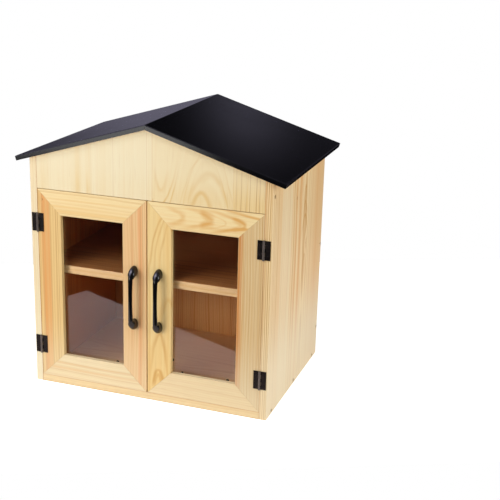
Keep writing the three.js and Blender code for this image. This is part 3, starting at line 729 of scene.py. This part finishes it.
def dress_door_frames():
    # Stiles that grow paler towards the bottom show painted light bounced up from the white table
    frames = {
        "left_door_hinge_stile": dict(
            logs=[Log(pith=0.16, depth=0.03, ring=5)], seed=21.0, contrast=0.6, fine=0.4,
            tone_and_bounce_fade=(-0.05, -0.19, 0.3),
            knots=((-0.0135, 0.170, 8 * MM, 4 * MM, 0.6),),
            streaks=((-0.012, 0.009, 0.9), (-0.002, 0.006, 0.8)),
            lines=((-0.015, 0.6), (0.001, 0.4), (0.0135, 0.5), (0.0175, 0.5)),
            early=srgb(236, 203, 138), heart=srgb(228, 162, 92)),
        "left_door_lock_stile": dict(
            logs=[Log(pith=-0.17, depth=0.04, ring=5.5, heart=0.22)], seed=22.5,
            tone_and_bounce_fade=(-0.03, -0.19, 0.25),
            streaks=((0.011, 0.007, 0.6), (-0.005, 0.003, 0.4)),
            lines=((0.012, 0.5), (0.017, 0.4), (-0.005, 0.4)),
            early=srgb(240, 208, 154), heart=PINE_SALMON),
        "left_door_top_rail": dict(
            logs=[Log(pith=0.13, depth=0.03, ring=6, figure=0.8)], seed=23.1, contrast=0.45,
            streaks=((-0.016, 0.004, 0.4), (-0.006, 0.004, 0.5), (0.008, 0.003, 0.3)),
            early=srgb(249, 222, 166), heart=srgb(238, 196, 124)),
        "left_door_bottom_rail": dict(
            logs=[Log(pith=-0.14, depth=0.04, ring=9, pale=0.5)], seed=24.2, contrast=0.25,
            banding=0.2, streaks=((0.007, 0.003, 0.25), (-0.004, 0.004, 0.35))),
        "right_door_hinge_stile": dict(
            logs=[Log(pith=0.19, depth=0.03, ring=5.5)], seed=25.7, fine=0.8, contrast=0.6,
            banding=0.2, tone_and_bounce_fade=(-0.03, -0.18, 0.4),
            streaks=((-0.0215, 0.0035, 1.5), (-0.017, 0.002, 0.7)),
            lines=((-0.010, 0.4), (0.000, 0.4), (0.010, 0.5), (0.0155, 0.6), (0.0205, 0.7)),
            early=srgb(228, 202, 153), heart=srgb(208, 138, 70)),
        "right_door_lock_stile": dict(
            logs=[Log(pith=-0.04, ring=5, figure=0.5, arches=(
                (-0.0005, -0.066, 3.8, 5, 0.11, 0.7),
                (-0.002, -0.140, 4.3, 4, 0.04, 0.7),
                (-0.002, -0.150, 3, 7, 0.03, 0.6),
                (0.010, 0.165, 9, 3, 0.15, 0.6),
                (0.019, 0.168, 9, 3, 0.15, 0.5),
                (0.030, 0.170, 9, 3, 0.15, 0.5),
                (0.018, 0.005, 5, 7, 0.06, 0.4),
            ))], seed=26.3, banding=0.5, fine=0.1,
            streaks=((-0.019, 0.003, 0.5), (0.001, 0.010, 0.35), (0.015, 0.008, 0.3)),
            early=srgb(241, 212, 149), late=srgb(214, 162, 88), heart=srgb(234, 186, 108)),
        "right_door_top_rail": dict(
            logs=[Log(pith=-0.05, ring=6, figure=0.35, pale=0.2, arches=(
                (0.001, -0.042, 7, 8, 0.04, 0.45),
                (0.002, 0.014, 6, 7, 0.07, 0.45),
                (0.002, 0.006, 6, 12, 0.02, 0.6),
                (0.000, 0.040, 6, 3, 0.06, 0.3),
                (-0.001, 0.076, 6, 5, 0.08, 0.7),
                (-0.001, 0.068, 5, 10, 0.02, 0.5),
                (0.006, 0.115, 4.5, 5, 0.12, 0.65),
            ))], seed=27.9, banding=0.35, fine=0.1,
            early=srgb(247, 219, 157), late=srgb(224, 166, 84), heart=srgb(236, 190, 116)),
        "right_door_bottom_rail": dict(
            logs=[Log(pith=-0.16, ring=11, figure=0.6, pale=0.3)], seed=28.8,
            contrast=0.2, banding=0.15, early=srgb(238, 211, 162)),
    }
    for node, looks in frames.items():
        along, across = ("x", "z") if node.endswith("rail") else ("z", "x")
        dress(node, wood(node + "_pine", node, along, across, **looks))


# Metal, plastic and panes

def painted_sheet():
    """Black semi-gloss paint on folded sheet steel, with a faint orange-peel surface."""
    g = new_material("black_sheet_paint")
    place = g.place()
    peel = g.noise(place, scale=420, detail=2)
    sweep = g.noise(place, scale=7, detail=2)
    wear = g.noise(place, scale=90, detail=3, roughness=0.7)
    roughness = g.plus(0.1, g.times(sweep, 0.05), g.times(g.ease(wear, 0.55, 0.8), 0.05))
    colour = g.mix(g.ease(wear, 0.5, 0.85), srgb(9, 9, 11), srgb(13, 13, 16))
    return g.finish(g.surface(
        Base_Color=colour, Roughness=roughness, Normal=g.bump(peel, 0.03, 0.1 * MM),
        Specular_IOR_Level=0.25,
    ))


def satin_iron():
    """Black satin enamel of the handles, worn a little paler where hands touch it."""
    g = new_material("black_iron_enamel")
    place = g.place()
    grain = g.noise(place, scale=900, detail=2)
    rub = g.noise(place, scale=60, detail=3, roughness=0.6)
    colour = g.mix(g.ease(rub, 0.5, 0.8), srgb(11, 10, 11), srgb(20, 18, 19))
    roughness = g.plus(0.1, g.times(rub, 0.08))
    return g.finish(g.surface(
        Base_Color=colour, Roughness=roughness, Normal=g.bump(grain, 0.03, 0.1 * MM),
        Specular_IOR_Level=0.45,
    ))


def metal(name, dark, light, metallic, least_rough, grain_scale, specular=0.5, knuckle_highlight=None):
    """A small metal fitting whose finish varies a little from place to place. knuckle_highlight is
    a painted highlight: its colour where it stands out from the hinge leaves, as the knuckles do."""
    g = new_material(name)
    place = g.place()
    patches = g.noise(place, scale=120, detail=3, roughness=0.6)
    grain = g.noise(place, scale=grain_scale, detail=2)
    colour = g.mix(g.ease(patches, 0.35, 0.7), dark, light)
    # Painted highlight: the knuckles, which stand out in front of the leaves, are made paler
    if knuckle_highlight:
        leaf_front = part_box("left_upper_hinge_door_leaf")[1].y - HINGE_LEAF_THICKNESS
        out = g.ease(g.split(place)[AXES["y"]], leaf_front - 0.4 * MM, leaf_front - 1.6 * MM)
        colour = g.mix(g.times(out, g.plus(0.5, patches)), colour, knuckle_highlight)
    return g.finish(g.surface(
        Base_Color=colour, Roughness=g.plus(least_rough, g.times(patches, 0.2)),
        Metallic=metallic, Normal=g.bump(grain, 0.1, 0.1 * MM), Specular_IOR_Level=specular,
    ))


def clear_acrylic():
    """A clear pane. Rays from the lamps pass straight through it."""
    g = new_material("clear_acrylic")
    haze = g.noise(g.place(), scale=18, detail=3, roughness=0.6)
    pane = g.surface(
        Base_Color=srgb(248, 250, 249), Roughness=g.plus(0.005, g.times(haze, 0.03)), IOR=1.49,
        Transmission_Weight=1.0,
    )
    through = g.add("ShaderNodeBsdfTransparent")
    through.inputs["Color"].default_value = (0.95, 0.95, 0.95, 1)
    choose = g.add("ShaderNodeMixShader")
    g.put(choose.inputs[0], g.ray("Shadow"))
    g.put(choose.inputs[1], pane)
    g.put(choose.inputs[2], through.outputs[0])
    return g.finish(choose.outputs[0])


def moulded_plastic(name, colour, pale):
    g = new_material(name)
    place = g.place()
    speckle = g.noise(place, scale=700, detail=2)
    clouds = g.noise(place, scale=45, detail=2)
    tone = g.mix(g.ease(clouds, 0.35, 0.7), colour, pale)
    return g.finish(g.surface(
        Base_Color=tone, Roughness=g.plus(0.42, g.times(speckle, 0.12)),
        Normal=g.bump(speckle, 0.15, 0.1 * MM),
    ))


# Round-edged and finer pieces

def skin(builder, rings):
    """Joins rings of equally many points into one closed skin, capped at both ends."""
    loops = [[builder.verts.new(point) for point in ring] for ring in rings]
    count = len(loops[0])
    for one, other in zip(loops, loops[1:]):
        for i in range(count):
            j = (i + 1) % count
            builder.faces.new((one[i], one[j], other[j], other[i]))
    builder.faces.new(loops[0])
    builder.faces.new(loops[-1])


def smooth(piece, sharp_angle):
    """Shades a piece smooth, but for the edges that are sharper than this many degrees."""
    piece.data.shade_smooth()
    piece.data.set_sharp_from_angle(angle=math.radians(sharp_angle))


HANDLE_FOOT = 21.5 * MM
HANDLE_FOOT_WIDTH = 14.4 * MM
HANDLE_FOOT_RIM = 1.6 * MM
HANDLE_FOOT_ARRIS = 0.5 * MM
HANDLE_SHOULDER = 25 * MM
HANDLE_COLLAR_SHARE = 0.74
HANDLE_GRIP = 7.2 * MM
HANDLE_GRIP_WIDTH = 7.7 * MM
HANDLE_WAIST_WIDTH = 9.1 * MM
HANDLE_BULGE = 1 * MM
HANDLE_SIDES = 28
SHOULDER_STEPS = 18
GRIP_STEPS = 14


def handle_sections(half, reach):
    """The upper half's sections: outer and inner point as (out, along), and the half width."""
    straight = half - HANDLE_SHOULDER
    outer_out = reach - HANDLE_BULGE
    inner_out = outer_out - HANDLE_GRIP
    foot_end = half - HANDLE_FOOT
    arris = HANDLE_FOOT_ARRIS
    sections = [((0, half - arris), (0, foot_end + arris), HANDLE_FOOT_WIDTH / 2 - arris),
                ((arris, half), (arris, foot_end), HANDLE_FOOT_WIDTH / 2)]
    for i in range(SHOULDER_STEPS + 1):
        angle = i / SHOULDER_STEPS * math.pi / 2
        rise, run = math.sin(angle), math.cos(angle)
        beyond = max(0.0, rise - HANDLE_COLLAR_SHARE) / (1 - HANDLE_COLLAR_SHARE)
        share = beyond * beyond * (3 - 2 * beyond)
        sections.append((
            (HANDLE_FOOT_RIM + (outer_out - HANDLE_FOOT_RIM) * rise,
             straight + HANDLE_SHOULDER * run),
            (HANDLE_FOOT_RIM + (inner_out - HANDLE_FOOT_RIM) * rise,
             straight + (HANDLE_SHOULDER - HANDLE_FOOT) * run),
            (HANDLE_FOOT_WIDTH + (HANDLE_WAIST_WIDTH - HANDLE_FOOT_WIDTH) * share) / 2,
        ))
    for i in range(1, GRIP_STEPS // 2 + 1):
        along = 1 - 2 * i / GRIP_STEPS
        bulge = 1 - along * along
        width = HANDLE_WAIST_WIDTH + (HANDLE_GRIP_WIDTH - HANDLE_WAIST_WIDTH) * bulge
        sections.append((
            (outer_out + HANDLE_BULGE * bulge, straight * along),
            (inner_out + HANDLE_BULGE * bulge, straight * along),
            width / 2,
        ))
    return sections


def make_handle(side_name, material):
    """A cast bow handle with two long oval feet and a bowed grip, slimmest in the middle."""
    node = f"{side_name}_handle"
    low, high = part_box(node)
    centre = (low + high) / 2
    half = (high.z - low.z) / 2
    upper = handle_sections(half, high.y - low.y)
    lower = [
        ((outer[0], -outer[1]), (inner[0], -inner[1]), width)
        for outer, inner, width in reversed(upper[:-1])
    ]

    def build(builder):
        rings = []
        for outer, inner, width in upper + lower:
            ring = []
            for k in range(HANDLE_SIDES):
                angle = 2 * math.pi * k / HANDLE_SIDES
                share = (1 + math.cos(angle)) / 2
                out = inner[0] + (outer[0] - inner[0]) * share
                along = inner[1] + (outer[1] - inner[1]) * share
                ring.append((
                    centre.x + width * math.sin(angle), high.y - out, centre.z + along,
                ))
            rings.append(ring)
        skin(builder, rings)

    piece = piece_from(
        f"{side_name}_bow_handle", build, f"{side_name}_door", material)
    smooth(piece, sharp_angle=50)
    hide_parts(node)


SCREW_SIDES = 24
SCREW_PROFILE = ((0, 1), (0.45, 1), (0.85, 0.84), (1, 0.66))
CROSS_REACH = 0.62
CROSS_HALF_ANGLE = math.radians(15)
RECESS_FLOOR = 0.35
RECESS_TAPER = 0.9


def screw_head(builder, place, outwards, radius, height, turn):
    """A low domed screw head with a cross recess, standing on a surface at the given place."""
    aim = Vector(outwards).to_track_quat("Z", "Y").to_matrix()
    arm = CROSS_REACH * radius
    arm_half_width = arm * math.tan(CROSS_HALF_ANGLE)

    def ring(rise, reach):
        points = []
        for k in range(SCREW_SIDES):
            angle = 2 * math.pi * k / SCREW_SIDES
            across = reach(angle) if callable(reach) else reach
            spot = Vector((across * math.cos(angle + turn), across * math.sin(angle + turn), rise))
            points.append(Vector(place) + aim @ spot)
        return points

    def cross(angle):
        """How far the edge of the cross recess is from the middle, in this direction."""
        turned = angle % (math.pi / 2)
        off = min(turned, math.pi / 2 - turned)
        if off < 1.001 * CROSS_HALF_ANGLE:
            return arm / math.cos(off)
        return arm_half_width / math.sin(off)

    skin(builder, [
        *(ring(rise * height, share * radius) for rise, share in SCREW_PROFILE),
        ring(height, cross),
        ring(RECESS_FLOOR * height, lambda angle: RECESS_TAPER * cross(angle)),
    ])


def make_screws(name, places, outwards, size, body, material):
    """Several screw heads of one size, given as radius and height, as pieces of their own."""
    for number, place in enumerate(places, 1):
        turn = 0.7 * number

        def build(builder, place=place, turn=turn):
            screw_head(builder, place, outwards, *size, turn)

        piece = piece_from(f"{name}_{number}", build, body, material)
        smooth(piece, sharp_angle=35)


HINGE_LEAF = 12.2 * MM
HINGE_ROOT = 2.55 * MM
HINGE_LEAF_THICKNESS = 1 * MM
HINGE_HOLE_SHARES = (0.25, 0.75)
HINGE_HEAD = (1.4 * MM, 0.8 * MM)
OUT_OF_FRONT = (0, -1, 0)
OUT_OF_BACK = (0, 1, 0)


def make_hinge_screws(material):
    """Two screws in each hinge leaf, sunk so that only their domes stand out."""
    for side_name, side in SIDES.items():
        for level in LEVELS:
            pin_low, pin_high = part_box(f"{side_name}_{level}_hinge_pin")
            axis_x = (pin_low.x + pin_high.x) / 2
            for leaf, direction in (("side", side), ("door", -side)):
                low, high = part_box(f"{side_name}_{level}_hinge_{leaf}_leaf")
                x = axis_x + direction * (HINGE_ROOT + HINGE_LEAF) / 2
                places = [
                    (x, high.y - 0.5 * HINGE_LEAF_THICKNESS, low.z + share * (high.z - low.z))
                    for share in HINGE_HOLE_SHARES
                ]
                body = "cabinet" if leaf == "side" else f"{side_name}_door"
                make_screws(
                    f"{side_name}_{level}_{leaf}_leaf_screw", places, OUT_OF_FRONT, HINGE_HEAD,
                    body, material)


FRAME_WIDTH = 48 * MM
GLUE_LINE = 0.29 * MM
GLUE_SUNK = 0.12 * MM
GLUE_END_INSET = 0.5 * MM


def glue_line(name, start, end, front, back, body, material):
    """The thin line of glue that fills a joint from one point of it to another, given as (x, z)."""
    along = (Vector(end) - Vector(start)).normalized()
    across = Vector((-along.y, along.x)) * GLUE_LINE / 2

    def build(builder):
        rings = []
        for y in (front + GLUE_SUNK, back - GLUE_SUNK):
            corners = (Vector(start) - across, Vector(start) + across,
                       Vector(end) + across, Vector(end) - across)
            rings.append([(corner.x, y, corner.y) for corner in corners])
        skin(builder, rings)

    piece_from(name, build, body, material)


def make_glue_lines(material):
    """Glue in the four mitres of each door."""
    for side_name in SIDES:
        door = f"{side_name}_door"
        low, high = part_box(f"{door}_hinge_stile")
        other_low, other_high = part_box(f"{door}_lock_stile")
        left, right = min(low.x, other_low.x), max(high.x, other_high.x)
        for level, z, rise in (("lower", low.z, 1), ("upper", high.z, -1)):
            for hand, x, run in (("left", left, 1), ("right", right, -1)):
                first, last = GLUE_END_INSET, FRAME_WIDTH - GLUE_END_INSET
                start = (x + run * first, z + rise * first)
                end = (x + run * last, z + rise * last)
                glue_line(
                    f"{door}_{level}_{hand}_mitre_glue", start, end, low.y, high.y, door, material)


GLAZING_HEAD = (3.1 * MM, 1.5 * MM)
GLAZING_FROM_SIGHT_EDGE = 1.0 * MM
RABBET_COVER = 5.5 * MM
FROM_CORNER = 18.5 * MM
UP_THE_SIDE = 23 * MM


def make_glazing_screws(material):
    """Small black screws through the edge of each pane, with their heads on its back."""
    for side_name in SIDES:
        low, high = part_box(f"{side_name}_door_pane")
        left, right = low.x + RABBET_COVER, high.x - RABBET_COVER
        bottom, top = low.z + RABBET_COVER, high.z - RABBET_COVER
        off = GLAZING_FROM_SIGHT_EDGE
        places = [
            (right - FROM_CORNER, bottom - off),
            (left + FROM_CORNER, top + off), (right - FROM_CORNER, top + off),
            (right + off, bottom + UP_THE_SIDE), (right + off, top - UP_THE_SIDE),
        ]
        if side_name == "right":
            places += [(left + FROM_CORNER, bottom - off), (left - off, bottom + UP_THE_SIDE)]
        make_screws(
            f"{side_name}_glazing_screw", [(x, high.y, z) for x, z in places], OUT_OF_BACK,
            GLAZING_HEAD, f"{side_name}_door", material)


CATCH_SCREW_INSET = 6 * MM
CATCH_SCREW_DROP = 5.5 * MM
CATCH_EAR = 2.8 * MM
CATCH_HEAD = (2.6 * MM, 1.4 * MM)
STRIKE_HEAD = (1.6 * MM, 0.2 * MM)


def make_catch_screws(material):
    """Two screws in each catch's ear, and two in each strike plate on the door."""
    ear_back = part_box("front_gable_board")[1].y + CATCH_EAR
    for side_name in SIDES:
        low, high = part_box(f"{side_name}_catch_housing")
        places = [(x, ear_back, high.z - CATCH_SCREW_DROP)
                  for x in (low.x + CATCH_SCREW_INSET, high.x - CATCH_SCREW_INSET)]
        make_screws(f"{side_name}_catch_screw", places, OUT_OF_BACK, CATCH_HEAD, "cabinet",
                    material)
        low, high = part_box(f"{side_name}_strike_plate")
        places = [(x, high.y, (low.z + high.z) / 2)
                  for x in (low.x + CATCH_SCREW_INSET, high.x - CATCH_SCREW_INSET)]
        make_screws(f"{side_name}_strike_screw", places, OUT_OF_BACK, STRIKE_HEAD,
                    f"{side_name}_door", material)


ROOF_SLOPE = math.radians(16.9)
SHEET = 0.8 * MM
FLANGE_DROP = 9.2 * MM
FOLD_RADIUS = 1.6 * MM
FOLD_SEGMENTS = 5
HALF_SLIT = 0.5 * MM


def make_roof_cover(material):
    """The sheet cover as it is folded from one blank: two slopes, with a flange along each edge
    that is slit at the corners and at the ridge."""
    low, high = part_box("roof_cover")
    ends = (low.y, high.y)
    eave_z = high.z - high.x * math.tan(ROOF_SLOPE)
    slit_z = high.z - FLANGE_DROP / math.cos(ROOF_SLOPE)

    def build(builder):
        weight = builder.edges.layers.float.new("bevel_weight_edge")

        def fold(*points):
            edge = builder.edges.get(points) or builder.edges.new(points)
            edge[weight] = 1.0

        ridge = [builder.verts.new((0, y, high.z)) for y in ends]
        fold(*ridge)
        for side in SIDES.values():
            down = Vector((-side * math.sin(ROOF_SLOPE), 0, -math.cos(ROOF_SLOPE))) * FLANGE_DROP
            up_slope = Vector((-side * math.cos(ROOF_SLOPE), 0, math.sin(ROOF_SLOPE)))
            eave = [builder.verts.new((side * high.x, y, eave_z)) for y in ends]
            fold(*eave)
            hem = [
                builder.verts.new(corner.co + down + Vector((0, inset, 0)))
                for corner, inset in zip(eave, (HALF_SLIT, -HALF_SLIT))
            ]
            for end, corner in enumerate(eave):
                fold(ridge[end], corner)
                below_eave = builder.verts.new(corner.co + down + up_slope * HALF_SLIT)
                below_ridge = builder.verts.new((side * HALF_SLIT, ends[end], slit_z))
                builder.faces.new((corner, ridge[end], below_ridge, below_eave))
            builder.faces.new((ridge[0], eave[0], eave[1], ridge[1]))
            builder.faces.new((eave[0], eave[1], hem[1], hem[0]))

    piece = piece_from("folded_roof_cover", build, "cabinet", material)
    modify(piece, "BEVEL", limit_method="WEIGHT", width=FOLD_RADIUS, segments=FOLD_SEGMENTS)
    modify(piece, "SOLIDIFY", thickness=SHEET, offset=-1)
    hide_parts("roof_cover")


# The whole box

bpy.context.scene.view_settings.view_transform = "Standard"
make_camera()
make_table()
make_world()
make_lights()

finishes = {
    "black_sheet": painted_sheet(),
    "black_iron": satin_iron(),
    # The bronze's paler knuckles are a painted highlight
    "bronze": metal("aged_bronze", srgb(20, 14, 12), srgb(34, 26, 22), 0.3, 0.25, 500,
                    specular=0.25, knuckle_highlight=srgb(104, 94, 88)),
    "zinc": metal("zinc_plate", srgb(120, 120, 118), srgb(176, 176, 172), 0.95, 0.25, 500),
    "black_screw": metal("black_screw_finish_and_recess_shade", srgb(22, 21, 21), srgb(44, 42, 40), 0.5, 0.4, 600),
    "acrylic": clear_acrylic(),
    "catch_plastic": moulded_plastic("brown_catch", srgb(92, 60, 38), srgb(116, 80, 54)),
    "ferrite": moulded_plastic("dark_magnet", srgb(40, 40, 43), srgb(58, 58, 60)),
}

dress_boards()
dress_door_frames()
for entry in frame["record"]["subparts"]:
    node, slot = entry["node"], entry["material_slot"]
    # The side screws sit in recesses and take the black finish instead of their slot's; that black
    # is partly painted shade of the recesses
    if "_side_screw_" in node:
        dress(node, finishes["black_screw"])
    elif slot in finishes:
        dress(node, finishes[slot])

make_roof_cover(finishes["black_sheet"])
for side_name in SIDES:
    make_handle(side_name, finishes["black_iron"])
make_hinge_screws(finishes["bronze"])
make_glue_lines(moulded_plastic("wood_glue", srgb(214, 178, 120), srgb(222, 188, 132)))
make_glazing_screws(finishes["black_screw"])
make_catch_screws(finishes["zinc"])

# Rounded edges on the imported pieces
HINGE_EDGE = 0.2 * MM
SMALL_EDGE = 0.3 * MM
BOARD_EDGE = 0.7 * MM
for node in nodes:
    if "_hinge_" in node and not node.endswith("_stile"):
        soften(node, HINGE_EDGE, sharp_angle=30)
    elif "_handle_screw_" in node or "_side_screw_" in node or node.startswith("shelf_pin"):
        soften(node, SMALL_EDGE, sharp_angle=35)
    elif node in ("front_gable_board", "shelf", "back_panel"):
        soften(node, BOARD_EDGE)
    elif node == "floor_board":
        soften(node, SMALL_EDGE)
